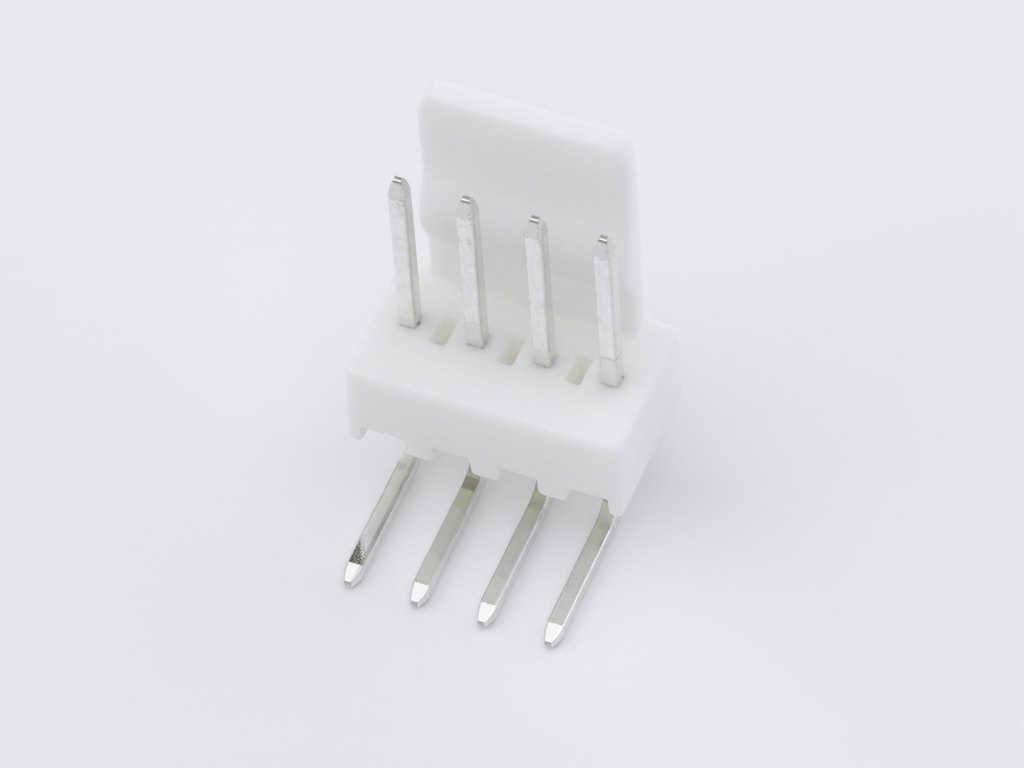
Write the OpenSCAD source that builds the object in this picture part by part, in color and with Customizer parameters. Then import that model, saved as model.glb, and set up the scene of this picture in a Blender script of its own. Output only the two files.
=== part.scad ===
// Right-angle friction-lock pin header.
// A moulded housing stands on the board with its flat seat and carries a locking wall,
// and square posts pressed through it are bent through a right angle into solder tails.
// Lengths are in millimetres. X runs along the row, +Z is the way the mating plug leaves,
// and -Y goes down into the board. The origin lies on the board's surface,
// in the middle of the row of solder tails.

/* [Posts] */
// Number of posts in the row
positions = 4; // [2:1:12]
// Distance between neighbouring posts
pitch = 2.54; // [2.2:0.01:5.08]
// Width of a square post
post_w = 0.64; // [0.4:0.01:0.8]
// Radius along the long edges of a post
post_edge_r = 0.08; // [0.02:0.01:0.12]
// Length of a post above the deck of the housing
post_len = 7.93; // [5:0.01:12]
// Length of a solder tail beyond the board's surface
tail_len = 3.89; // [2:0.01:6]
// Inside radius of the right-angle bend
bend_r = 1.4; // [0.4:0.05:1.8]
// Length of the taper at the mating end of a post
post_taper = 0.78; // [0.4:0.01:1.5]
// Length of the taper at the end of a solder tail
tail_taper = 0.66; // [0.4:0.01:1.5]
// Width of the flat at the end of each taper
tip_w = 0.34; // [0.2:0.01:0.38]
// Bevel around the flat at the end of each taper
tip_bevel = 0.04; // [0.02:0.01:0.08]

/* [Block] */
// How far the block reaches past half a pitch from its first and last posts
end_margin = 0.11; // [0:0.01:0.5]
// Depth of the block, from its seat on the board to its back
block_depth = 5.87; // [5:0.01:8]
// Thickness of the block, from the deck to its underside between the ribs
block_t = 3.02; // [2.4:0.01:5]
// Distance from the board's surface to the row of posts
row_height = 2.95; // [2.4:0.01:3.4]
// Distance from the middle of the solder tails to the feet of the ribs
standoff = 3.08; // [2.6:0.01:6]
// Radius along the edges of the deck
deck_edge_r = 0.3; // [0.1:0.01:0.5]
// Radius along the back edges of the deck and of the wall
back_edge_r = 0.08; // [0.02:0.01:0.3]
// Radius at the corners of the block, seen from above
corner_r = 0.2; // [0.05:0.01:0.4]

/* [Ribs] */
// Width of a rib between two posts
rib_w = 1.12; // [0.8:0.01:1.3]
// Width of the rib at each end of the block
end_rib_w = 0.54; // [0.54:0.01:0.8]
// Height of the ribs below the block
rib_h = 0.83; // [0.4:0.01:1.5]
// Radius along the feet of the ribs
rib_foot_r = 0.25; // [0.05:0.01:0.26]

/* [Locking wall] */
// Distance from each end of the block to the wall
wall_inset = 1.29; // [0.5:0.01:2]
// Thickness of the wall
wall_t = 0.98; // [0.7:0.01:1.4]
// Height of the wall above the deck
wall_h = 10.18; // [8:0.01:14]
// Radius along the top edge of the wall, towards the posts
wall_top_r = 0.25; // [0.05:0.01:0.35]
// Width of the slope at the wall's upper corners
slope_w = 0.28; // [0.1:0.01:1]
// Height of the slope at the wall's upper corners
slope_h = 1; // [0.2:0.01:2]
// Radius where the wall rises from the deck
wall_foot_r = 0.3; // [0.1:0.01:0.6]
// Height of the middle of the locking bead above the deck
bead_z = 4.03; // [3.5:0.01:5]
// Height of the locking bead, without the hollows that lead into it
bead_h = 3; // [2:0.01:4]
// How far the locking bead stands out from the wall
bead_rise = 0.56; // [0.2:0.01:0.8]
// Radius of the hollows that lead from the wall into the bead
bead_foot_r = 0.8; // [0.2:0.01:1.2]

/* [Openings in the deck] */
// Width of the pocket between two posts, along the row
pocket_w = 0.52; // [0.3:0.01:0.7]
// Length of the pocket between two posts, across the row
pocket_l = 1.22; // [0.6:0.01:1.6]
// Depth of the pocket
pocket_depth = 2; // [0.5:0.01:2.2]
// Gap around a post at the mouth of its hole
mouth_gap = 0.03; // [0.02:0.01:0.15]
// Depth of the gap around a post
mouth_depth = 0.12; // [0.05:0.01:0.5]
// Clearance of the pressed posts in the housing, per side
press_clearance = 0; // [0:0.005:0.02]

/* [Hidden] */
$fn = 64;

// Overlap of solids that are joined into one piece
joint = 0.5;

block_w = positions * pitch + 2 * end_margin;
underside_z = standoff + rib_h;
deck_z = underside_z + block_t;
body_h = rib_h + block_t;

wall_w = block_w - 2 * wall_inset;
wall_y = block_depth - wall_t;
bead_r = (pow(bead_h / 2, 2) + pow(bead_rise, 2)) / (2 * bead_rise);
bead_mid_y = wall_y + bead_r - bead_rise;
bead_mid_z = deck_z + bead_z;
bead_foot_y = wall_y - bead_foot_r;
bead_reach = bead_r + bead_foot_r;
bead_foot_z = sqrt(pow(bead_reach, 2) - pow(bead_mid_y - bead_foot_y, 2));

bend_axis_r = bend_r + post_w / 2;
tail_start_y = row_height - bend_axis_r;

function post_x(i) = (i - (positions + 1) / 2) * pitch;
function gap_x(i) = (i - positions / 2) * pitch;

// Extrude a profile drawn in X and Z from y = 0 to the given depth
module along_y(depth) {
    translate([0, depth, 0])
        rotate([90, 0, 0])
            linear_extrude(depth)
                children();
}

// Extrude a profile drawn in Y and Z over the given width, centred on x = 0
module along_x(width) {
    rotate([90, 0, 90])
        linear_extrude(width, center = true)
            children();
}

// A square with all four corners rounded, centred on the origin
module rounded_square(size, r) {
    square([size - 2 * r, size], center = true);
    square([size, size - 2 * r], center = true);
    for (sx = [-1, 1], sy = [-1, 1])
        translate([sx, sy] * (size / 2 - r))
            circle(r);
}

// An upright bar from x = 0 to w, with its upper corners rounded by their own radii
module round_topped(w, h, left_r, right_r) {
    square([w / 2, h - left_r]);
    translate([w / 2, 0])
        square([w / 2, h - right_r]);
    translate([left_r, 0])
        square([w - left_r - right_r, h]);
    translate([left_r, h - left_r])
        circle(left_r);
    translate([w - right_r, h - right_r])
        circle(right_r);
}

// Cross-section of a post, or of its hole with a gap on every side
module post_section(gap = 0) {
    rounded_square(post_w + 2 * gap, post_edge_r + gap);
}

// Outline of a post that tapers to a bevelled flat at its upper end
module point_outline(len, taper) {
    half = [
        [post_w / 2, 0],
        [post_w / 2, len - taper],
        [tip_w / 2, len - tip_bevel],
        [tip_w / 2 - tip_bevel, len]
    ];
    mirrored = [for (i = [3:-1:0]) [-half[i][0], half[i][1]]];
    polygon(concat(half, mirrored));
}

// A straight post that rises from z = 0 and is pointed on all four sides
module pointed_post(len, taper) {
    intersection() {
        linear_extrude(len)
            post_section();
        along_x(post_w)
            point_outline(len, taper);
        rotate([0, 0, 90])
            along_x(post_w)
                point_outline(len, taper);
    }
}

// One contact: mating post, right-angle bend and solder tail
module pin(i) {
    color([0.78, 0.78, 0.74])
        translate([post_x(i), 0, 0]) {
            translate([0, row_height, bend_axis_r])
                pointed_post(deck_z + post_len - bend_axis_r, post_taper);
            translate([0, tail_start_y, bend_axis_r])
                rotate([-90, 0, 90])
                    rotate_extrude(angle = 90)
                        translate([bend_axis_r, 0])
                            post_section();
            translate([0, tail_start_y, 0])
                rotate([90, 0, 0])
                    pointed_post(tail_start_y + tail_len, tail_taper);
        }
}

// One rib seen from the seat, from x = 0 to w, with its upper part inside the block
module rib_front(w) {
    translate([0, underside_z + joint])
        mirror([0, 1])
            round_topped(w, rib_h + joint, rib_foot_r, rib_foot_r);
}

// The block seen from its seat: a plate with a rib at each end and between posts
module block_front() {
    translate([-block_w / 2, underside_z])
        round_topped(block_w, block_t, deck_edge_r, deck_edge_r);
    for (i = [1:positions - 1])
        translate([gap_x(i) - rib_w / 2, 0])
            rib_front(rib_w);
    translate([-block_w / 2, 0])
        rib_front(end_rib_w);
    translate([block_w / 2 - end_rib_w, 0])
        rib_front(end_rib_w);
}

// The block seen from its end
module block_side() {
    translate([0, standoff])
        round_topped(block_depth, body_h, deck_edge_r, back_edge_r);
}

// The block seen from above
module block_plan() {
    straight = block_depth - 2 * corner_r;
    translate([-block_w / 2, corner_r])
        square([block_w, straight]);
    translate([corner_r - block_w / 2, 0])
        square([block_w - 2 * corner_r, block_depth]);
    for (sx = [-1, 1], sy = [-1, 1])
        translate([sx * (block_w / 2 - corner_r), block_depth / 2 + sy * straight / 2])
            circle(corner_r);
}

module block() {
    intersection() {
        along_y(block_depth)
            block_front();
        along_x(block_w)
            block_side();
        translate([0, 0, standoff])
            linear_extrude(body_h)
                block_plan();
    }
}

// Hollow that leads from the wall into the bead, above the bead's middle at z = 0.
// It touches the bead on the line between the two centres, and the wall level with its own.
module bead_foot() {
    core_y = wall_y + wall_t / 2;
    step = [bead_foot_y - bead_mid_y, bead_foot_z] / bead_reach;
    touch = [bead_mid_y, 0] + bead_r * step;
    difference() {
        polygon([
            [core_y, 0],
            touch - bead_rise / 2 * step,
            touch + bead_foot_r / 4 * step,
            [wall_y - bead_foot_r / 4, bead_foot_z],
            [core_y, bead_foot_z]
        ]);
        translate([bead_foot_y, bead_foot_z])
            circle(bead_foot_r);
    }
}

// The locking wall seen from its end: slab, round bead and foot fillet
module wall_side() {
    translate([wall_y, deck_z - joint])
        round_topped(wall_t, wall_h + joint, wall_top_r, back_edge_r);
    intersection() {
        translate([bead_mid_y, bead_mid_z])
            circle(bead_r);
        translate([wall_y - bead_rise, bead_mid_z - bead_h])
            square([bead_rise + wall_t / 2, 2 * bead_h]);
    }
    translate([0, bead_mid_z]) {
        bead_foot();
        mirror([0, 1])
            bead_foot();
    }
    difference() {
        translate([wall_y - wall_foot_r, deck_z - joint])
            square([wall_foot_r + wall_t / 2, wall_foot_r + joint]);
        translate([wall_y - wall_foot_r, deck_z + wall_foot_r])
            circle(wall_foot_r);
    }
}

// The locking wall seen from the posts, with its sloping upper corners
module wall_front() {
    top_z = deck_z + wall_h;
    foot_z = deck_z - joint;
    half = [
        [wall_w / 2, foot_z],
        [wall_w / 2, top_z - slope_h],
        [wall_w / 2 - slope_w, top_z]
    ];
    mirrored = [for (i = [2:-1:0]) [-half[i][0], half[i][1]]];
    polygon(concat(half, mirrored));
}

module locking_wall() {
    intersection() {
        along_x(wall_w)
            wall_side();
        along_y(block_depth)
            wall_front();
    }
}

// Square hole for a pressed post, with a wider mouth in the deck
module post_hole() {
    translate([0, row_height, standoff])
        linear_extrude(body_h)
            post_section(press_clearance);
    translate([0, row_height, deck_z - mouth_depth])
        linear_extrude(mouth_depth + joint)
            post_section(mouth_gap);
}

// Pocket in the deck that thins the block above a rib
module pocket() {
    translate([-pocket_w / 2, row_height - pocket_l / 2, deck_z - pocket_depth])
        cube([pocket_w, pocket_l, pocket_depth + joint]);
}

// Moulded housing: block, ribs and locking wall in one piece
module housing() {
    color([0.93, 0.93, 0.91])
        difference() {
            union() {
                block();
                locking_wall();
            }
            for (i = [1:positions])
                translate([post_x(i), 0, 0])
                    post_hole();
            for (i = [1:positions - 1])
                translate([gap_x(i), 0, 0])
                    pocket();
        }
}

housing();
for (i = [1:positions]) pin(i);
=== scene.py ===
# %% [markdown]
# # A right-angle pin header
# A small board connector: four square wires, plated with tin, are pressed through a white nylon
# moulding and bent into solder tails. The construction comes packed as solids, and this lesson
# dresses them: the wires are swept again with soft edges, the moulding is drawn again as one
# smooth skin, and nylon and tin get their finish.

# %% Load the solids
import math

import bpy
import numpy as np
from mathutils import Matrix, Vector


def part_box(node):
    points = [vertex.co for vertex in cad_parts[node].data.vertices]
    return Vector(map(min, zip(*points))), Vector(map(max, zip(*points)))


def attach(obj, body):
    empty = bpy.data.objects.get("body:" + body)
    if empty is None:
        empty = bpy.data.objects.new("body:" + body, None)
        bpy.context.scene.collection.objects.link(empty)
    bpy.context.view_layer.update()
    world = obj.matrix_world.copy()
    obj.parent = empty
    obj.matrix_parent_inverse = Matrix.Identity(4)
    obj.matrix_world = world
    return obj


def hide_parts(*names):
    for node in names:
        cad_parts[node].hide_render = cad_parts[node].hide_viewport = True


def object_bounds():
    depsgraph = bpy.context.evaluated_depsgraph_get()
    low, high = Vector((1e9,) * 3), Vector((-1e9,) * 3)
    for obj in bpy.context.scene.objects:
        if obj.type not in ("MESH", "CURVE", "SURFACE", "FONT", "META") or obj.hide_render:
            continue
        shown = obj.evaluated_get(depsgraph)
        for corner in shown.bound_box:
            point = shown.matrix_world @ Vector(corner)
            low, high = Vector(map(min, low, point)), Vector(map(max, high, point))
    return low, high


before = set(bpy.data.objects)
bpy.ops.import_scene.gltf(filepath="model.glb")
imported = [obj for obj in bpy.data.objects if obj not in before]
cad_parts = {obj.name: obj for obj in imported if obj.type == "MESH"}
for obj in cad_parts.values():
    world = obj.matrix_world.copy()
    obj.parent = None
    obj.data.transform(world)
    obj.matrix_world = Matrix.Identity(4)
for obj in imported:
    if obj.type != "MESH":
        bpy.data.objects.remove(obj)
cad_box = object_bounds()
MM = 0.001
print("solids:", sorted(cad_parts))
print("box in mm:", [[round(c / MM, 3) for c in corner] for corner in cad_box])

# %% [markdown]
# ## Sizes that the solids give
# Everything that can be read off the solids is read off them, so that the dressed part cannot
# drift away from the construction. A wire is as wide as its own box, its post ends at the box's
# top, its tail ends at the box's front, and the plane under the tails is the floor.

# %% Read the sizes
PINS = ["pin_1", "pin_2", "pin_3", "pin_4"]
wire_low, wire_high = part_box(PINS[0])
wire_w = wire_high.x - wire_low.x
post_tip_z = wire_high.z
tail_tip_y = wire_low.y
row_y = wire_high.y - wire_w / 2
tail_z = wire_low.z + wire_w / 2
pin_x = [(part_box(name)[0].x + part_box(name)[1].x) / 2 for name in PINS]
pin_pitch = pin_x[1] - pin_x[0]
BLOCK_HEIGHT = 3.85 * MM
deck_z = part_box("housing")[0].z + BLOCK_HEIGHT
floor_z = cad_box[0].z
print("wire width in mm:", round(wire_w / MM, 3), "posts at", [round(x / MM, 3) for x in pin_x])

# %% [markdown]
# ## The camera
# The view is a long lens from the front right, looking down at about fifty degrees. Its place is
# given as an aim point on the deck of the housing, a direction and a distance, because those can
# be understood and changed one at a time. A small roll turns the picture about its middle.

# %% Place the camera
AIM = Vector((0.597, 1.535, 6.93)) * MM
CAMERA_DISTANCE = 314.41 * MM
CAMERA_AZIMUTH = math.radians(25.482)
CAMERA_ELEVATION = math.radians(52.414)
CAMERA_ROLL = math.radians(-4.342)
LENS_MM, SENSOR_MM = 317.24, 36.0
CLIP_NEAR, CLIP_FAR = 0.01, 10.0

toward_camera = Vector((
    math.sin(CAMERA_AZIMUTH) * math.cos(CAMERA_ELEVATION),
    -math.cos(CAMERA_AZIMUTH) * math.cos(CAMERA_ELEVATION),
    math.sin(CAMERA_ELEVATION),
))
camera = bpy.data.objects.new("camera", bpy.data.cameras.new("camera"))
bpy.context.scene.collection.objects.link(camera)
camera.data.lens = LENS_MM
camera.data.sensor_width = SENSOR_MM
camera.data.clip_start = CLIP_NEAR
camera.data.clip_end = CLIP_FAR
level_turn = (-toward_camera).to_track_quat("-Z", "Y").to_matrix().to_4x4()
camera.matrix_world = (
    Matrix.Translation(AIM + toward_camera * CAMERA_DISTANCE)
    @ level_turn
    @ Matrix.Rotation(CAMERA_ROLL, 4, "Z")
)
bpy.context.scene.camera = camera
print("camera at", [round(c, 4) for c in camera.matrix_world.translation])

# %% [markdown]
# ## Shader maths as Python
# A finish is a formula over the surface. Wrapping a node's socket in a small class lets the
# formula be written with plain operators, and each operator adds one Math node. Every other node
# comes from the `node` method, which sets the node's own settings first and its sockets after.

# %% The socket class
class Field:
    """A value that varies over a surface: one output socket of a material's node tree."""

    def __init__(self, tree, socket=None):
        self.tree = tree
        self.socket = socket

    def node(self, kind, settings=None, output=0, **inputs):
        """Add a node of this type, set its settings, fill its sockets, and wrap one output."""
        made = self.tree.nodes.new("ShaderNode" + kind)
        for key, value in (settings or {}).items():
            setattr(made, key, value)
        for key, value in inputs.items():
            wanted = int(key[1:]) if key[0] == "_" else key.replace("_", " ")
            put(self.tree, made.inputs[wanted], value)
        return Field(self.tree, made.outputs[output])

    def math(self, operation, *values):
        """Add a Math node that works on this value and the others."""
        numbered = {f"_{i}": value for i, value in enumerate((self, *values))}
        return self.node("Math", {"operation": operation}, **numbered)

    def __add__(self, other):
        return self.math("ADD", other)

    def __mul__(self, other):
        return self.math("MULTIPLY", other)

    def __sub__(self, other):
        return self.math("SUBTRACT", other)

    def __rsub__(self, other):
        return self.node("Math", {"operation": "SUBTRACT"}, _0=other, _1=self)

    __radd__ = __add__
    __rmul__ = __mul__

    def ramp(self, low, high):
        """Rise smoothly from 0 where this value is low to 1 where it is high."""
        smooth = {"interpolation_type": "SMOOTHSTEP"}
        return self.node("MapRange", smooth, Value=self, From_Min=low, From_Max=high)

    def after(self, place, soft):
        """0 before this place and 1 after it, with a smooth rise of this width across it."""
        return self.ramp(place - soft / 2, place + soft / 2)

    def before(self, place, soft):
        """1 before this place and 0 after it, with a smooth fall of this width across it."""
        return 1 - self.after(place, soft)

    def band(self, middle, half, soft):
        """1 within half of the middle value, falling smoothly to 0 over the soft width."""
        return 1 - (self - middle).math("ABSOLUTE").ramp(half, half + soft)

    def axis(self, name):
        """One coordinate of this vector."""
        return self.node("SeparateXYZ", output=name, Vector=self)

    def noise(self, scale, detail, rough):
        """Cloudy noise over this vector, about 0.5 on the average."""
        return self.node("TexNoise", Vector=self, Scale=scale, Detail=detail, Roughness=rough)

    def blend(self, first, second):
        """Mix two colours, with this value as the share of the second."""
        colours = {"data_type": "RGBA"}
        return self.node("Mix", colours, output=2, _0=self, _6=first, _7=second)


print("methods of a field:", [name for name in vars(Field) if not name.startswith("_")])

# %% Start a finish
def put(tree, socket, value):
    """Give a node's input a link where the value is a field, and a constant otherwise."""
    if isinstance(value, Field):
        tree.links.new(value.socket, socket)
    else:
        socket.default_value = value


def new_finish(name):
    """Start a material: its root field and its shader node."""
    material = bpy.data.materials.new(name)
    material.use_nodes = True
    return material, Field(material.node_tree), material.node_tree.nodes["Principled BSDF"]


print("shader maths ready")

# %% [markdown]
# ## White nylon
# Natural nylon isn't painted: light sinks in, wanders for a millimetre or two and comes out
# again, which softens shadows and makes edges glow. Subsurface scattering does that, with a
# radius that is a little longer for red and green, so deep corners turn faintly yellow.
# The moulded skin is satin, with a cloudy gloss and a very fine grain. A post leaves its hole
# through a narrow gap with ragged edges, whose shade is painted as a dark square ring round its foot.

# %% Painted shade of the gap round a post
# Noise is given as its scale, its detail and its roughness
RAGGED_NOISE = (2600.0, 2.0, 0.5)
RAGGED_RANGE = (0.48, 0.68)
GAP_W_MM, GAP_RAGGED_MM = 0.05, 0.04
GAP_SHARE, GAP_RAGGED_SHARE = 0.2, 0.6
GAP_SHADE_COLOUR = (0.45, 0.45, 0.41, 1)


def gap_shade_ring(place):
    """Up to 1 in a ring round each post: the larger of the distances from its middle, along and
    across the row, less half its width, is under a few hundredths of a millimetre. Noise widens
    the ring in places and fades it in others."""
    along_row = ((place.axis("X") * (1 / pin_pitch)).math("FRACT") - 0.5).math("ABSOLUTE") * pin_pitch
    across_row = (place.axis("Y") - row_y).math("ABSOLUTE")
    beyond = (along_row.math("MAXIMUM", across_row) - wire_w / 2) * (1 / MM)
    ragged = place.noise(*RAGGED_NOISE).ramp(*RAGGED_RANGE)
    ring = 1 - (beyond - GAP_RAGGED_MM * ragged).ramp(0.0, GAP_W_MM)
    return ring * (GAP_SHARE + GAP_RAGGED_SHARE * ragged)


print("gap in mm:", GAP_W_MM, "to", round(GAP_W_MM + GAP_RAGGED_MM, 3))

# %% The nylon finish
NYLON_COLOUR = (0.994, 0.995, 0.971, 1)
NYLON_CLOUD_COLOUR = (0.990, 0.991, 0.965, 1)
NYLON_RADIUS_MM = (1.6, 1.55, 1.3)
NYLON_IOR = 1.53
NYLON_ROUGHNESS, CLOUD_ROUGHNESS = 0.40, 0.16
CLOUD_NOISE = (700.0, 3.0, 0.5)
GRAIN_NOISE = (9000.0, 4.0, 0.6)
GRAIN_STRENGTH, GRAIN_DEPTH = 0.05, 0.02 * MM


def nylon_finish():
    """Satin translucent plastic: clouded colour and gloss, fine grain, deep scattering."""
    material, root, shader = new_finish("white_nylon")
    tree = material.node_tree
    place = root.node("TexCoord", output="Object")
    cloud = place.noise(*CLOUD_NOISE)
    grain = place.noise(*GRAIN_NOISE)
    clouded = cloud.blend(NYLON_COLOUR, NYLON_CLOUD_COLOUR)
    # Painted shade: a dark ring round each post where it leaves its hole
    put(tree, shader.inputs["Base Color"], gap_shade_ring(place).blend(clouded, GAP_SHADE_COLOUR))
    put(tree, shader.inputs["Roughness"], NYLON_ROUGHNESS + CLOUD_ROUGHNESS * cloud)
    bump = root.node("Bump", Strength=GRAIN_STRENGTH, Distance=GRAIN_DEPTH, Height=grain)
    put(tree, shader.inputs["Normal"], bump)
    shader.inputs["IOR"].default_value = NYLON_IOR
    shader.inputs["Subsurface Weight"].default_value = 1.0
    shader.inputs["Subsurface Scale"].default_value = MM
    shader.inputs["Subsurface Radius"].default_value = NYLON_RADIUS_MM
    return material


nylon = nylon_finish()
print("nylon nodes:", len(nylon.node_tree.nodes))

# %% [markdown]
# ## The wires
# A wire is one section carried along one path: down the post, round the bend and out along the
# tail. The section is a square with round corners. At each end it is coined to a point: across
# the row a chisel, with a steep bevel and a flatter facet before the taper, and along the row a
# round nose. A curve object could carry the section too, but it narrows both ways alike. Here
# there are two laws of half width, one for each way across the wire.

# %% Section of a wire
EDGE_R = 0.065 * MM
ARC_POINTS = 7
FLAT_SHARE = 0.93


def square_section(half, radius):
    """Corner arc: centre (half - radius) each way plus radius times (cos, sin) over a quarter
    turn, with one point on the flat before and after it; then the same turned by 90 degrees."""
    turn = np.linspace(0, np.pi / 2, ARC_POINTS)
    inner = half - radius
    arc = inner + radius * np.stack([np.cos(turn), np.sin(turn)], 1)
    support = FLAT_SHARE * inner
    corner = np.concatenate([[[half, support]], arc, [[support, half]]])
    quarter = np.array([[0, 1], [-1, 0]])
    turned = [corner @ np.linalg.matrix_power(quarter, k) for k in range(4)]
    return np.concatenate(turned)


section = square_section(wire_w / 2, EDGE_R)
print("points in the section:", len(section))

# %% Half widths at an end
POST_TAPER = 0.78 * MM
TAIL_TAPER = 0.72 * MM
CAP_HALF = {"row": 0.13 * MM, "deep": 0.06 * MM}
BEVEL_OUT, BEVEL_SLOPE = 0.059 * MM, 1.9
FACET_OUT, FACET_SLOPE = 0.044 * MM, 0.6
SOFT_CORNER = 0.01 * MM


def soft_min(a, b, width):
    """The smaller of two values, with the corner where they cross rounded over this width."""
    near = np.clip(width - np.abs(a - b), 0, None) / width
    return np.minimum(a, b) - near**2 * width / 4


def chisel_half_width(s, taper, half):
    """Half width across the row at distance s from an end: the smallest of the bevel's line, the
    facet's line, the taper's line and the full half width, with soft corners between them."""
    bevel_end = CAP_HALF["deep"] + BEVEL_OUT
    facet_end = bevel_end + FACET_OUT
    s_bevel = BEVEL_OUT / BEVEL_SLOPE
    s_facet = s_bevel + FACET_OUT / FACET_SLOPE
    bevel = CAP_HALF["deep"] + BEVEL_SLOPE * s
    facet = bevel_end + FACET_SLOPE * (s - s_bevel)
    slope = facet_end + (half - facet_end) * (s - s_facet) / (taper - s_facet)
    point = soft_min(soft_min(bevel, facet, SOFT_CORNER), slope, SOFT_CORNER)
    return soft_min(point, half, SOFT_CORNER)


def nose_half_width(s, taper, half):
    """Half width along the row at distance s from an end: a parabola that starts at the cap's
    half width and is level where it reaches the full half width."""
    short_of = np.clip(1 - s / taper, 0, 1)
    return half - (half - CAP_HALF["row"]) * short_of**2


HALF_WIDTH = {"row": nose_half_width, "deep": chisel_half_width}
half_way_up = [law(POST_TAPER / 2, POST_TAPER, wire_w / 2) / MM for law in HALF_WIDTH.values()]
print("half widths half way up a point, in mm:", [round(float(width), 3) for width in half_way_up])

# %% Path of a wire
BEND_R = 1.40 * MM
POINT_REACH = 0.16 * MM
BREAK_REACH = 8 * SOFT_CORNER
SLOPE_FROM, SLOPE_TO, BODY_FROM = 0.30, 0.85, 0.30
POINT_STATIONS, SLOPE_STATIONS, BREAK_STATIONS, BODY_STATIONS = 33, 8, 17, 8
BEND_STATIONS = 25


def end_stations(taper, straight):
    """Distances from an end: close together at the bevel and where the taper begins."""
    bevels = np.linspace(0, POINT_REACH, POINT_STATIONS)
    slope = np.linspace(SLOPE_FROM, SLOPE_TO, SLOPE_STATIONS) * taper
    break_line = taper + np.linspace(-BREAK_REACH, BREAK_REACH, BREAK_STATIONS)
    body = taper + np.linspace(BODY_FROM, 1.0, BODY_STATIONS) * (straight - taper)
    return np.concatenate([bevels, slope, break_line, body])


def wire_path():
    """Stations from post tip to tail tip: centre, inward normal and both half widths. The normal
    points forwards on the post and upwards on the tail, and turns by an angle t round the bend
    as (0, -cos t, sin t). There the path is the bend's middle less its radius times the normal."""
    half = wire_w / 2
    axis_r = BEND_R + half
    post_straight = post_tip_z - (tail_z + axis_r)
    tail_straight = row_y - axis_r - tail_tip_y
    s_post = end_stations(POST_TAPER, post_straight)
    s_tail = end_stations(TAIL_TAPER, tail_straight)[::-1]
    turn = np.linspace(0, np.pi / 2, BEND_STATIONS)[1:-1]
    angle = np.concatenate([0 * s_post, turn, 0 * s_tail + np.pi / 2])
    normal = np.stack([0 * angle, -np.cos(angle), np.sin(angle)], 1)
    post = np.stack([0 * s_post, 0 * s_post + row_y, post_tip_z - s_post], 1)
    tail = np.stack([0 * s_tail, tail_tip_y + s_tail, 0 * s_tail + tail_z], 1)
    bend_middle = np.array([0, row_y - axis_r, tail_z + axis_r])
    bend = bend_middle - axis_r * normal[len(post):len(post) + len(turn)]
    halves = {}
    for way, law in HALF_WIDTH.items():
        ends = law(s_post, POST_TAPER, half), law(s_tail, TAIL_TAPER, half)
        halves[way] = np.concatenate([ends[0], 0 * turn + half, ends[1]])
    return np.concatenate([post, bend, tail]), normal, halves


def running_length(points):
    """Distance covered at each point of a line, from 0 at its first."""
    steps = np.linalg.norm(np.diff(points, axis=0), axis=1)
    return np.concatenate([[0], np.cumsum(steps)])


path, path_normal, path_half = wire_path()
along_mm = running_length(path) / MM
around_mm = running_length(np.concatenate([section, section[:1]])) / MM
print("stations:", len(path), "wire in mm:", round(along_mm[-1], 2), "round it:", round(around_mm[-1], 3))

# %% [markdown]
# ## Bright tin plate
# The wires are drawn through a die, plated with tin, cut, coined and bent. The plate mirrors what
# is around it, through a fine grain that makes every reflection speckled. It is darker on the
# right faces and duller on the coined points. The upper face of the tails is partly tarnished and
# partly a painted reflection of the shaded underside of the housing, olive near the bend and dark
# at the bend. Painted shade runs round the feet of the posts. A painted dark reflection runs along the
# left edges of the tails, and a painted highlight along the right edges of some. Other edges
# are dark where they are worn. No two wires are worn alike, so each carries a few numbers of its
# own, which its mesh stores as attributes.

# %% Tones of the tin, and the marks of each wire
TIN_COLOUR = (0.915, 0.91, 0.895, 1)
TIN_DULL_COLOUR = (0.80, 0.80, 0.78, 1)
SIDE_COLOUR = (0.81, 0.81, 0.785, 1)
BAND_COLOUR = (0.60, 0.60, 0.57, 1)
COINED_COLOUR = (0.76, 0.76, 0.735, 1)
TAIL_POINT_COLOUR = (0.79, 0.79, 0.755, 1)
TAIL_TOP_TARNISH_AND_REFLECTION_COLOUR = (0.76, 0.765, 0.69, 1)
OLIVE_REFLECTION_COLOUR = (0.66, 0.68, 0.48, 1)
BEND_REFLECTION_COLOUR = (0.34, 0.34, 0.26, 1)
EDGE_COLOUR = (0.38, 0.38, 0.35, 1)
HIGHLIGHT_COLOUR = (0.95, 0.95, 0.935, 1)
CUT_COLOUR = (0.60, 0.59, 0.57, 1)
# One number for each wire: for the witness a distance in millimetres, for the others a share
WIRE_MARKS = {
    "witness": [7.43, 6.58, 7.03, 6.38],  # from the post's tip to where its foot turns dull
    # Tarnish on the tail, which also carries the painted reflection of the housing's shaded underside
    "tarnish": [0.3, 1.0, 0.8, 0.55],  # olive and grey over the tail
    # The patch is a painted dark reflection of the housing's shaded underside
    "patch": [0.1, 1.0, 0.3, 0.15],  # dark patch at the end of the bend
    "edge": [1.0, 0.3, 0.0, 0.0],  # dark, worn right edge of the tail
    # Painted highlight along the tail's right edge
    "bright": [0.0, 0.3, 1.0, 0.0],  # bright right edge of the tail
    "shade": [0.0, 0.7, 1.0, 0.85],  # dark left edge of the tail
    "line": [0.1, 0.4, 0.15, 0.9],  # dark line where the foot turns dull
    "scuff": [0.8, 1.0, 0.8, 0.7],  # scuffed right edge of the post's point
    "mottle": [1.0, 0.6, 0.2, 0.15],  # mottled front below the point
    "smudge": [0.0, 1.0, 0.0, 0.0],  # smudge on the front of the post
}
print("marks on each wire:", len(WIRE_MARKS))

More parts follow.
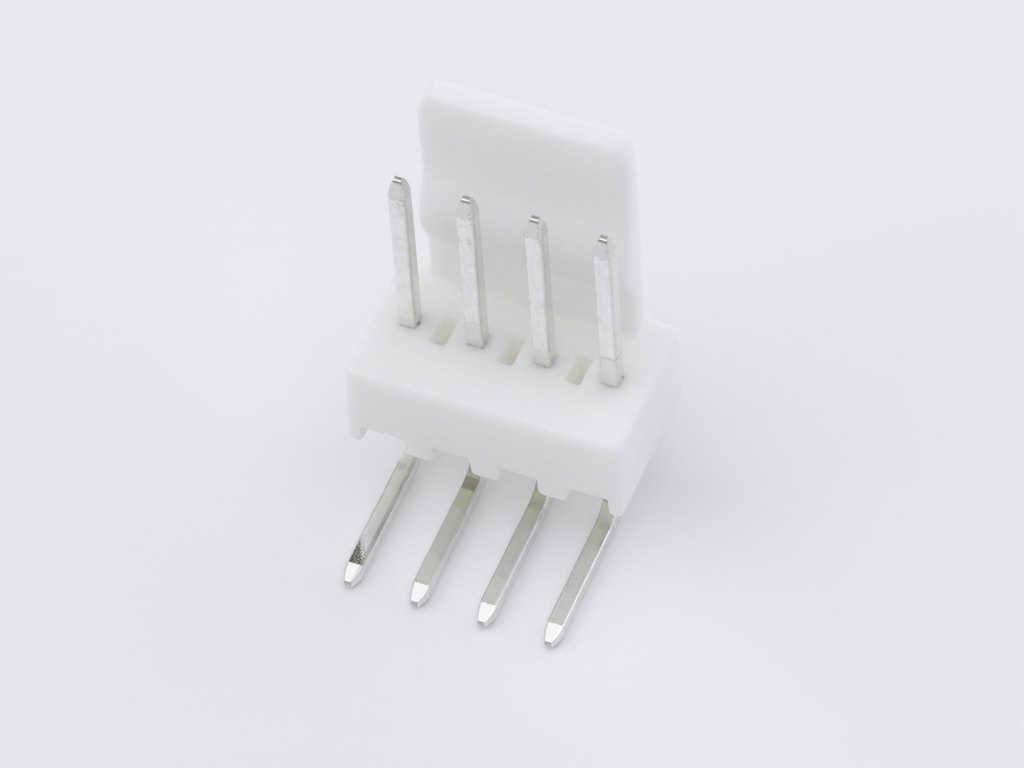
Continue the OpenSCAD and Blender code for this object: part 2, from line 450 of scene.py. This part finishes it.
# %% [markdown]
# The sweep stores how far round and along the wire each point lies, in millimetres. Round the
# section the distance runs from the right side by the front to the left and the back, and on the
# tail the front is the upper face. So a place on the wire is a band or a limit in one of the two
# numbers, and a mark is the product of a few such places with noise that breaks it up. A picture
# could be painted instead, but bands stay sharp close up and move with the sizes. A band is
# written as its middle, half its width and its soft border, a limit as its place and its soft
# width, and a range of noise as its low and high value.

# %% Places on a wire
wire_mm = float(along_mm[-1])
tail_start_mm = wire_mm - (row_y - BEND_R - wire_w / 2 - tail_tip_y) / MM
foot_mm = (post_tip_z - deck_z) / MM
RIGHT_EDGE, LEFT_EDGE = 0.10, 0.705
FRONT_BAND = (0.40, 0.24, 0.05)
RIGHT_FRONT_LIMIT, RIGHT_BACK_LIMIT = (RIGHT_EDGE + 0.01, 0.06), (1.90, 0.06)
POST_LIMIT, TAIL_LIMIT = (-2.5, 1.0), (-2.3, 1.0)
NOSE_LIMIT = (TAIL_TAPER / MM, 0.04)
CUT_LIMIT = (0.00125, 0.0015)
SPECK_NOISE, BLOTCH_NOISE = (9000.0, 4.0, 0.7), (1700.0, 3.0, 0.6)
WAVER_MM = 0.16


class WirePlace:
    """Where a point lies on a wire: distances in millimetres round it, from the post's tip and
    past the end of the bend, masks for its faces and ends, noise, and the wire's own marks."""

    def __init__(self, root, wire_uv, place):
        self.around, self.along = wire_uv.axis("X"), wire_uv.axis("Y")
        self.past_bend = self.along - tail_start_mm
        to_end = wire_mm - self.along
        self.specks = place.noise(*SPECK_NOISE)
        self.blotch = place.noise(*BLOTCH_NOISE)
        self.waver = WAVER_MM * (self.blotch - 0.5)
        self.front = self.around.band(*FRONT_BAND)
        self.right = self.around.before(*RIGHT_FRONT_LIMIT) + self.around.after(*RIGHT_BACK_LIMIT)
        self.on_post = self.past_bend.before(*POST_LIMIT)
        self.on_tail = self.past_bend.after(*TAIL_LIMIT)
        self.nose = to_end.before(*NOSE_LIMIT)
        self.post_cut = self.along.before(*CUT_LIMIT)
        self.tail_cut = to_end.before(*CUT_LIMIT)
        for name in WIRE_MARKS:
            setattr(self, name, root.node("Attribute", {"attribute_name": name}, output="Fac"))


print("deck and end of the bend, in mm from the tip:", round(foot_mm, 2), round(tail_start_mm, 2))

# %% Marks on the posts
RIGHT_BAND, BACK_EDGE_LIMIT = (RIGHT_EDGE - 0.05, 0.03, 0.09), (2.38, 0.08)
LEFT_LINE = (LEFT_EDGE, 0.015, 0.03)
MOTTLE_BEGIN, MOTTLE_END = (0.9, 0.2), (3.2, 2.0)
COINED_LIMIT = (POST_TAPER / MM, 0.04)
BREAK_LINE = (POST_TAPER / MM + 0.03, 0.012, 0.03)
SCUFF_ALONG, SCUFF_AROUND = (0.65, 0.35, 0.25), (RIGHT_EDGE + 0.04, 0.03, 0.07)
SMUDGE_ALONG, SMUDGE_AROUND = (1.95, 0.12, 0.30), (0.25, 0.03, 0.12)
WITNESS_SOFT, WITNESS_LINE = 0.05, (0.03, 0.09)
# Where the painted shade round a post's foot lies, in mm from the tip
MOUTH_SHADE_LINE = (foot_mm, 0.02, 0.06)
DULL_RANGE, MOTTLE_RANGE, SMUDGE_RANGE = (0.50, 0.72), (0.45, 0.62), (0.36, 0.58)
LEFT_RANGE, BREAK_RANGE, SCUFF_RANGE = (0.45, 0.65), (0.42, 0.58), (0.45, 0.60)
WITNESS_RANGE, MOUTH_SHADE_RANGE = (0.38, 0.60), (0.42, 0.60)


def post_marks(at):
    """Dull patches, sides and feet, the coined point, a dark line at the break, lines, scuffs and
    smudges of wear, and painted shade round the foot: rows of a share, a mask and a colour, each laid
    over the rows before it."""
    wavering = at.along + at.waver
    dull = at.on_post * at.blotch.ramp(*DULL_RANGE)
    right_edge = at.around.band(*RIGHT_BAND) + at.around.after(*BACK_EDGE_LIMIT)
    foot = at.on_post * at.along.ramp(at.witness, at.witness + WITNESS_SOFT)
    mottle = at.front * at.along.after(*MOTTLE_BEGIN) * at.along.before(*MOTTLE_END) * at.mottle
    mottle = mottle * (0.7 * at.blotch + 0.3 * at.specks).ramp(*MOTTLE_RANGE)
    left_line = at.on_post * at.around.band(*LEFT_LINE) * at.specks.ramp(*LEFT_RANGE)
    break_line = wavering.band(*BREAK_LINE) * at.specks.ramp(*BREAK_RANGE)
    scuff = at.along.band(*SCUFF_ALONG) * at.around.band(*SCUFF_AROUND) * at.scuff
    foot_line = wavering.band(at.witness, *WITNESS_LINE) * at.specks.ramp(*WITNESS_RANGE) * at.line
    smudge = at.along.band(*SMUDGE_ALONG) * at.around.band(*SMUDGE_AROUND) * at.smudge
    smudge = smudge * (0.6 * at.specks + 0.4 * at.blotch).ramp(*SMUDGE_RANGE)
    return [
        (0.45, dull, SIDE_COLOUR),
        (0.85, at.on_post * at.right, SIDE_COLOUR),
        (0.50, at.on_post * right_edge * (0.3 + at.blotch), BAND_COLOUR),
        (0.55, foot, SIDE_COLOUR),
        (0.60, mottle, BAND_COLOUR),
        (1.00, at.along.before(*COINED_LIMIT), COINED_COLOUR),
        (0.60, left_line, EDGE_COLOUR),
        (0.75, break_line, EDGE_COLOUR),
        (0.75, scuff * at.specks.ramp(*SCUFF_RANGE), EDGE_COLOUR),
        (0.55, foot_line, EDGE_COLOUR),
        (0.50, smudge, EDGE_COLOUR),
        # Painted shade: a dark line round the post where it enters its hole
        (0.45, at.along.band(*MOUTH_SHADE_LINE) * at.specks.ramp(*MOUTH_SHADE_RANGE), EDGE_COLOUR),
    ]


print("lines on a post, in mm from the tip:", [round(line[0], 2) for line in (BREAK_LINE, MOUTH_SHADE_LINE)])

# %% Marks on the tails
TAIL_SIDE_END = (3.1, 1.4)
OLIVE_REFLECTION_END, BEND_REFLECTION_END = (0.9, 0.5), (-0.75, 0.5)
TARNISH_THINS, TARNISH_LOST = (2.9, 2.2), 0.4
PATCH_BAND = (-0.3, 0.25, 0.12)
SHADE_BAND = (LEFT_EDGE - 0.01, 0.035, 0.03)
HIGHLIGHT_BAND = (RIGHT_EDGE, 0.03, 0.04)
WEAR_BAND = (RIGHT_EDGE + 0.03, 0.05, 0.05)
WEAR_GROWS, WEAR_FADES = (1.95, 0.7), (3.2, 0.8)


def tail_marks(at):
    """Tarnish mixed with painted reflection on the top and the side, painted olive and dark reflections
    at the bend with a dark patch, the nose, and the edges: worn, a painted dark reflection on the
    left and a painted highlight on the right: rows as for the posts."""
    wavering = at.past_bend + at.waver
    side = at.on_tail * at.right * at.past_bend.before(*TAIL_SIDE_END) * at.tarnish
    top = at.front * at.on_tail * at.tarnish
    thinned = top * (1 - TARNISH_LOST * at.past_bend.after(*TARNISH_THINS))
    # Painted dark reflection: a patch at the end of the bend
    patch = at.front * wavering.band(*PATCH_BAND) * (0.7 + 0.6 * at.specks) * at.patch
    # Painted dark reflection along the tail's left edge
    shade = at.on_tail * at.around.band(*SHADE_BAND) * at.shade * (1 - at.nose)
    worn = at.on_tail * at.around.band(*WEAR_BAND) * at.edge
    worn = worn * (0.6 + 0.4 * wavering.after(*WEAR_GROWS)) * (1 - 0.3 * wavering.after(*WEAR_FADES))
    return [
        (0.90, side, SIDE_COLOUR),
        # Tarnish and painted reflection: the tail's top darkened as the shaded housing above would darken
        # it
        (1.00, thinned * (0.5 + 0.5 * at.specks + 0.5 * at.blotch), TAIL_TOP_TARNISH_AND_REFLECTION_COLOUR),
        # Painted reflection: the olive of the housing's shaded underside, near the bend
        (0.70, top * wavering.before(*OLIVE_REFLECTION_END), OLIVE_REFLECTION_COLOUR),
        (1.00, at.front * at.nose, TAIL_POINT_COLOUR),
        # Painted dark reflection of the housing's shaded underside over the bend
        (0.85, top * at.past_bend.before(*BEND_REFLECTION_END), BEND_REFLECTION_COLOUR),
        (0.80, patch, BEND_REFLECTION_COLOUR),
        (0.80, shade, EDGE_COLOUR),
        # Painted highlight: light tin along the right edge of the tail
        (1.00, at.on_tail * at.around.band(*HIGHLIGHT_BAND) * at.bright, HIGHLIGHT_COLOUR),
        (0.65, worn, EDGE_COLOUR),
    ]


print("patch at the bend, in mm past it:", PATCH_BAND[0])

# %% The tin finish
STREAK_SCALE, STREAK_NOISE, STREAK_RANGE = (7.0, 1.3, 1.0), (1.0, 4.0, 0.6), (0.46, 0.76)
FLAKE_NOISE, FLAKE_RANGE, FLAKE_DEPTH = (15000.0, 2.0, 0.5), (0.45, 0.70), 0.0004 * MM
COARSE_BEGIN = (3.6, 0.6)
MIRROR_ROUGHNESS = 0.03
POINT_END = (0.17, 0.10)
BENT_BAND = (-1.0, 0.6, 0.7)
DULL_EDGE_BAND, DULL_EDGE_BEGIN = (LEFT_EDGE, 0.06, 0.05), (-0.5, 1.0)


def tin_roughness(at, streaks):
    """A mirror's roughness, with more of it where the plate is streaked, coined, cut or bent."""
    left_edge = at.around.band(*DULL_EDGE_BAND) * at.past_bend.after(*DULL_EDGE_BEGIN)
    drawn = MIRROR_ROUGHNESS + 0.10 * streaks + 0.25 * at.past_bend.band(*BENT_BAND)
    ends = 0.32 * at.along.before(*POINT_END) + 0.08 * at.post_cut + 0.25 * at.nose
    return drawn + ends + 0.5 * left_edge


def tin_finish():
    """Plate that mirrors through a fine grain, with duller, tarnished and worn places, painted shade and
    painted reflections.
    """
    material, root, shader = new_finish("tin_plate")
    tree = material.node_tree
    place = root.node("TexCoord", output="Object")
    wire_uv = root.node("UVMap", {"uv_map": "wire"})
    at = WirePlace(root, wire_uv, place)
    stretched = root.node("Mapping", Vector=wire_uv, Scale=STREAK_SCALE)
    streaks = stretched.noise(*STREAK_NOISE).ramp(*STREAK_RANGE)
    colour = streaks.blend(TIN_COLOUR, TIN_DULL_COLOUR)
    cut_ends = [(1.00, at.post_cut + at.tail_cut, CUT_COLOUR)]
    for share, mask, tone in post_marks(at) + tail_marks(at) + cut_ends:
        colour = (share * mask).blend(colour, tone)
    put(tree, shader.inputs["Base Color"], colour)
    put(tree, shader.inputs["Roughness"], tin_roughness(at, streaks))
    flakes = place.noise(*FLAKE_NOISE).ramp(*FLAKE_RANGE)
    coarse = 1 + 2 * at.past_bend.after(*COARSE_BEGIN)
    bump = root.node("Bump", Strength=1.0, Distance=FLAKE_DEPTH, Height=flakes * coarse)
    put(tree, shader.inputs["Normal"], bump)
    shader.inputs["Metallic"].default_value = 1.0
    return material


tin = tin_finish()
print("tin nodes:", len(tin.node_tree.nodes))

# %% [markdown]
# The wires are now swept as grids: one ring of the section at each station of the path, with a
# flat cap at each end. A grid keeps its rows and columns, so the two distances of every point are
# known, and they go into the mesh's UV map.

# %% Sweep a wire
def wire_faces(rows, columns):
    """Quads of a grid that closes on itself along its columns, and one cap at each end. The
    second result gives the column and the row of every corner, with the seam counted twice."""
    i, j = np.meshgrid(np.arange(rows - 1), np.arange(columns), indexing="ij")
    row = np.stack([i, i, i + 1, i + 1], -1).reshape(-1, 4)
    column = np.stack([j, j + 1, j + 1, j], -1).reshape(-1, 4)
    ring = np.arange(columns)
    quads = row * columns + column % columns
    caps = [ring[::-1], (rows - 1) * columns + ring]
    corner_row = np.concatenate([row.ravel(), 0 * ring, 0 * ring + rows - 1])
    corner_column = np.concatenate([column.ravel(), ring[::-1], ring])
    return quads.tolist() + [cap.tolist() for cap in caps], corner_column, corner_row


def sweep_wire(name, x, marks):
    """Point (station, k) = centre + section x times its scale along the row + section y times its
    scale along the normal, where a scale is a half width over the full half width."""
    wide = (path_half["row"] / (wire_w / 2))[:, None, None]
    deep = (path_half["deep"] / (wire_w / 2))[:, None, None]
    along_row = np.array([1.0, 0, 0])
    points = path[:, None, :] + x * along_row
    points = points + wide * section[None, :, :1] * along_row
    points = points + deep * section[None, :, 1:] * path_normal[:, None, :]
    rows, columns = points.shape[:2]
    faces, corner_column, corner_row = wire_faces(rows, columns)
    mesh = bpy.data.meshes.new(name)
    mesh.from_pydata(points.reshape(-1, 3).tolist(), [], faces)
    smooth = np.arange(len(faces)) < len(faces) - 2
    mesh.polygons.foreach_set("use_smooth", smooth)
    wire_uv = np.stack([around_mm[corner_column], along_mm[corner_row]], 1)
    mesh.uv_layers.new(name="wire").data.foreach_set("uv", wire_uv.ravel())
    for mark, value in marks.items():
        stored = mesh.attributes.new(mark, "FLOAT", "POINT")
        stored.data.foreach_set("value", np.full(rows * columns, value))
    piece = bpy.data.objects.new(name, mesh)
    bpy.context.scene.collection.objects.link(piece)
    mesh.materials.append(tin)
    return piece


for i, node in enumerate(PINS):
    wire = sweep_wire(node + "_wire", pin_x[i], {mark: row[i] for mark, row in WIRE_MARKS.items()})
    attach(wire, "root")
    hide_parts(node)
    print(wire.name, "faces:", len(wire.data.polygons))

# %% [markdown]
# ## The moulding as a field of distances
# A moulding has no sharp edges, and the soft ones catch the light. Boxes joined by booleans could
# be bevelled, but a bevel fails where many edges meet. Here the housing is described by a field: a
# number for every point in space that is negative inside and about the distance to the skin. A
# plane is a field, and two fields can be joined so that the edge between them comes out round. So
# the whole moulding is one short formula, in millimetres, with a radius at each join.

# %% Joins with a radius
def round_off(a, b, radius):
    """Inside both: the larger field, but where both are within the radius of their skins,
    a circle's distance from the point where both are one radius deep."""
    reach = np.hypot(np.maximum(a + radius, 0), np.maximum(b + radius, 0))
    return np.minimum(np.maximum(a, b), -radius) + reach


def fill_in(a, b, radius):
    """Inside either: the same join turned inside out, which leaves a hollow in the corner."""
    return -round_off(-a, -b, radius)


def easing(t):
    """Rise from 0 to 1 as t does, level at both ends."""
    t = np.clip(t, 0, 1)
    return t * t * (3 - 2 * t)


print("field where two planes meet, rounded to 1:", round(float(round_off(0.0, 0.0, 1.0)), 3))

# %% [markdown]
# The block is a plate with ribs under it, all of one profile along the row. Its front edges are
# rounder at the deck than at the feet. The wall is a slab with a bead on it, and a hollow leads
# from the deck into the wall. Both share one flat back, and the pockets are cut last.

# %% Sizes of the housing
housing_low, housing_high = [np.array(corner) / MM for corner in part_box("housing")]
half_row, block_back, wall_top = housing_high
foot_z = housing_low[2]
row_mm, pitch, deck = row_y / MM, pin_pitch / MM, deck_z / MM
RIB_H, RIB_W, END_RIB_W, RIB_FOOT_R = 0.83, 1.12, 0.54, 0.25
WALL_THICK, WALL_INSET, WALL_R = 0.98, 1.29, 0.25
SLOPE_W, SLOPE_H, SLOPE_R = 0.28, 1.00, 0.08
BEAD_UP, BEAD_R, BEAD_RISE, BEAD_SOFT = 4.03, 2.289, 0.56, 0.40
POCKET_W, POCKET_L, POCKET_DEPTH = 0.52, 1.22, 2.00
POCKET_R, POCKET_RIM_R = 0.08, 0.15
DECK_R, UNDERSIDE_R, BACK_R, HOLLOW_R = 0.30, 0.06, 0.08, 0.25
FRONT_FOOT_R, FRONT_DECK_R = 0.10, 0.32
OVERLAP = 0.5
underside = foot_z + RIB_H
wall_front, wall_half = block_back - WALL_THICK, half_row - WALL_INSET
bead_z = deck + BEAD_UP
print("underside, deck and bead in mm:", [round(float(z), 3) for z in (underside, deck, bead_z)])

# %% The housing's field
def from_gap(x):
    """Distance along the row from the middle of the nearest gap between two posts."""
    return np.abs(x - pitch * np.clip(np.round(x / pitch), -1, 1))


def block_field(x, y, z):
    """Plate and ribs: a profile in x and z, cut by the front plane with a growing radius."""
    ends = np.abs(x) - half_row
    plate = round_off(round_off(ends, z - deck, DECK_R), underside - z, UNDERSIDE_R)
    inner = from_gap(x) - RIB_W / 2
    outer = np.maximum(ends, half_row - END_RIB_W - np.abs(x))
    ribs = [round_off(side, foot_z - z, RIB_FOOT_R) for side in (inner, outer)]
    ribs = np.maximum(np.minimum(*ribs), z - underside - OVERLAP)
    up_front = easing((z - underside) / (deck - underside))
    front_r = FRONT_FOOT_R + (FRONT_DECK_R - FRONT_FOOT_R) * up_front
    return round_off(np.minimum(plate, ribs), -y, front_r)


def wall_field(x, y, z):
    """Slab and bead: a profile in y and z, cut by the ends, which lean inwards at the top."""
    slab = round_off(wall_front - y, z - wall_top, WALL_R)
    bead = np.hypot(y - wall_front - BEAD_R + BEAD_RISE, z - bead_z) - BEAD_R
    upright = np.abs(x) - wall_half
    leaning = (SLOPE_H * upright + SLOPE_W * (z - wall_top + SLOPE_H)) / np.hypot(SLOPE_H, SLOPE_W)
    ends = round_off(upright, leaning, SLOPE_R)
    wall = round_off(soft_min(slab, bead, BEAD_SOFT), ends, WALL_R)
    return np.maximum(wall, deck - OVERLAP - z)


def housing_field(x, y, z):
    """Block and wall joined by a hollow, cut by the flat back and by a pocket in each gap."""
    body = fill_in(block_field(x, y, z), wall_field(x, y, z), HOLLOW_R)
    body = round_off(body, y - block_back, BACK_R)
    pocket = round_off(from_gap(x) - POCKET_W / 2, np.abs(y - row_mm) - POCKET_L / 2, POCKET_R)
    pocket = np.maximum(pocket, deck - POCKET_DEPTH - z)
    return round_off(body, -pocket, POCKET_RIM_R)


print("field on the deck:", round(float(housing_field(pitch / 2, row_mm / 2, deck)), 4))

# %% [markdown]
# A net is drawn over the skin of the field: space is cut into small cubes, each cube with corners
# on both sides of the skin gets one point, and the four cubes round a crossed edge make a face.
# Then every point slides down the slope of the field until it lies on the skin.

# %% Points of the net
CELL = 0.09
CELLS_BELOW, CELLS_ABOVE = 1.5, 2.5


def net_points(values):
    """One point for each cube that the skin passes: the mean of the crossings on its edges,
    each found by a straight line between the values at the edge's two ends."""
    corners = np.array([[i, j, k] for i in (0, 1) for j in (0, 1) for k in (0, 1)])
    size = np.array(values.shape) - 1
    count = np.zeros(size, int)
    for i, j, k in corners:
        count += values[i:i + size[0], j:j + size[1], k:k + size[2]] < 0
    cubes = np.argwhere((count > 0) & (count < 8))
    at = [values[tuple((cubes + c).T)] for c in corners]
    total = np.zeros((len(cubes), 3))
    crossings = np.zeros(len(cubes))
    for a in range(8):
        for b in range(a + 1, 8):
            if np.abs(corners[a] - corners[b]).sum() == 1:
                crossed = (at[a] < 0) != (at[b] < 0)
                share = at[a] / np.where(crossed, at[a] - at[b], 1)
                spot = corners[a] + share[:, None] * (corners[b] - corners[a])
                total += np.where(crossed[:, None], spot, 0)
                crossings += crossed
    return cubes, cubes + total / crossings[:, None]


lattice = [
    np.arange(low - CELLS_BELOW * CELL, high + CELLS_ABOVE * CELL, CELL)
    for low, high in zip(housing_low, housing_high)
]
values = housing_field(*np.meshgrid(*lattice, indexing="ij", sparse=True))
cubes, net = net_points(values)
print("lattice points:", values.size, "cubes on the skin:", len(cubes))

# %% Faces of the net
def net_faces(values, cubes):
    """Quads round every crossed edge of the lattice, for the three directions in turn."""
    number = np.zeros(np.array(values.shape) - 1, int)
    number[tuple(cubes.T)] = np.arange(len(cubes))
    faces = []
    for order in ((0, 1, 2), (1, 2, 0), (2, 0, 1)):
        inside = values.transpose(order)[:, 1:-1, 1:-1] < 0
        cells = number.transpose(order)
        i, j, k = np.nonzero(inside[:-1] != inside[1:])
        ring = [cells[i, j + a, k + b] for a, b in ((0, 0), (1, 0), (1, 1), (0, 1))]
        quads = np.stack(ring, 1)
        leaving = inside[i, j, k]
        faces.append(np.where(leaving[:, None], quads, quads[:, ::-1]))
    return np.concatenate(faces)


quads = net_faces(values, cubes)
print("faces:", len(quads))

# %% The housing's mesh
NUDGE = 1e-4
NEWTON_STEPS = 2
LEAST_STEEPNESS = 0.25


def onto_skin(points):
    """Newton's step, twice: against the slope by the field's value over the slope squared."""
    for _ in range(NEWTON_STEPS):
        value = housing_field(*points.T)
        slope = np.stack([
            (housing_field(*(points + NUDGE * way).T) - value) / NUDGE for way in np.eye(3)
        ], 1)
        steepness = np.maximum((slope**2).sum(1), LEAST_STEEPNESS)
        points = points - (value / steepness)[:, None] * slope
    return np.clip(points, housing_low, housing_high)


start = np.array([axis[0] for axis in lattice])
skin = onto_skin(start + CELL * net) * MM
mesh = bpy.data.meshes.new("housing_moulding")
mesh.from_pydata(skin.tolist(), [], quads.tolist())
mesh.polygons.foreach_set("use_smooth", np.ones(len(mesh.polygons), bool))
mesh.materials.append(nylon)
housing = bpy.data.objects.new("housing_moulding", mesh)
bpy.context.scene.collection.objects.link(housing)
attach(housing, "root")
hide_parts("housing")
print("points:", len(skin), "faces:", len(mesh.polygons))

# %% [markdown]
# ## Floor and light
# The part stands on a plain pale floor under soft panels: a big one overhead, one at the left and
# one at the right, a small one high at the back right, and a low one at the back.
# The room between them stays dim and a little warm, because it is what the flat ends and steep
# faces of the wires mirror as their dark tones.

# %% Floor
FLOOR_SIZE = 1.6
FLOOR_COLOUR = (0.94, 0.942, 0.955, 1)
FLOOR_ROUGHNESS, FLOOR_SHINE = 0.9, 0.2


def floor_plane(z):
    """A square sheet, centred under the part."""
    corner = FLOOR_SIZE / 2
    mesh = bpy.data.meshes.new("floor")
    corners = [(-corner, -corner, z), (corner, -corner, z), (corner, corner, z), (-corner, corner, z)]
    mesh.from_pydata(corners, [], [(0, 1, 2, 3)])
    plane = bpy.data.objects.new("floor", mesh)
    bpy.context.scene.collection.objects.link(plane)
    material, _, shader = new_finish("pale_floor")
    shader.inputs["Base Color"].default_value = FLOOR_COLOUR
    shader.inputs["Roughness"].default_value = FLOOR_ROUGHNESS
    shader.inputs["Specular IOR Level"].default_value = FLOOR_SHINE
    mesh.materials.append(material)
    return plane


floor = floor_plane(floor_z)
print("floor at z in mm:", round(floor_z / MM, 3))

# %% Panels of light
# Name, azimuth and elevation in degrees, distance, width and height in metres, radiance, tint
PANELS = [
    ("overhead", 0, 76, 0.62, 1.00, 0.90, 1.088, (0.997, 1, 1.082)),
    ("left", -80, 30, 0.70, 0.90, 0.55, 0.904, (0.946, 1, 1.089)),
    ("right", 112, 22, 0.70, 0.70, 0.42, 0.889, (0.962, 1, 1.241)),
    ("rim", 146, 45, 0.70, 0.34, 0.22, 1.200, (1.000, 1, 1.050)),
    ("back", 180, 15, 0.70, 0.90, 0.36, 1.523, (1.033, 1, 1.052)),
]


def light_panel(name, azimuth, elevation, distance, width, height, radiance, tint):
    """A flat lamp of even radiance, aimed at the part from this azimuth and elevation."""
    a, e = math.radians(azimuth), math.radians(elevation)
    way = Vector((math.sin(a) * math.cos(e), -math.cos(a) * math.cos(e), math.sin(e)))
    lamp = bpy.data.lights.new(name, "AREA")
    lamp.shape = "RECTANGLE"
    lamp.size = width
    lamp.size_y = height
    lamp.energy = radiance * width * height * math.pi
    lamp.color = tint
    panel = bpy.data.objects.new(name, lamp)
    bpy.context.scene.collection.objects.link(panel)
    panel.location = AIM + way * distance
    panel.rotation_mode = "QUATERNION"
    panel.rotation_quaternion = (-way).to_track_quat("-Z", "Y")
    return panel


panels = [light_panel(*row) for row in PANELS]
print("panels:", [panel.name for panel in panels])

# %% [markdown]
# White nylon passes light on many times, so the paths of light may bounce more often than usual.
# The view transform is Standard, which shows a colour as it is written.

# %% Room and view
ROOM_COLOUR = (0.146, 0.141, 0.113, 1)
BOUNCES = 32

world = bpy.data.worlds.new("dim_room")
world.use_nodes = True
world.node_tree.nodes["Background"].inputs["Color"].default_value = ROOM_COLOUR
bpy.context.scene.world = world
bpy.context.scene.view_settings.view_transform = "Standard"
bpy.context.scene.cycles.max_bounces = BOUNCES
bpy.context.scene.cycles.diffuse_bounces = BOUNCES
print("bounces:", BOUNCES)

# %% [markdown]
# ## The sizes at the end
# The dressing may soften an edge but may not change a size, so the box round the dressed part
# should agree with the box round the solids.
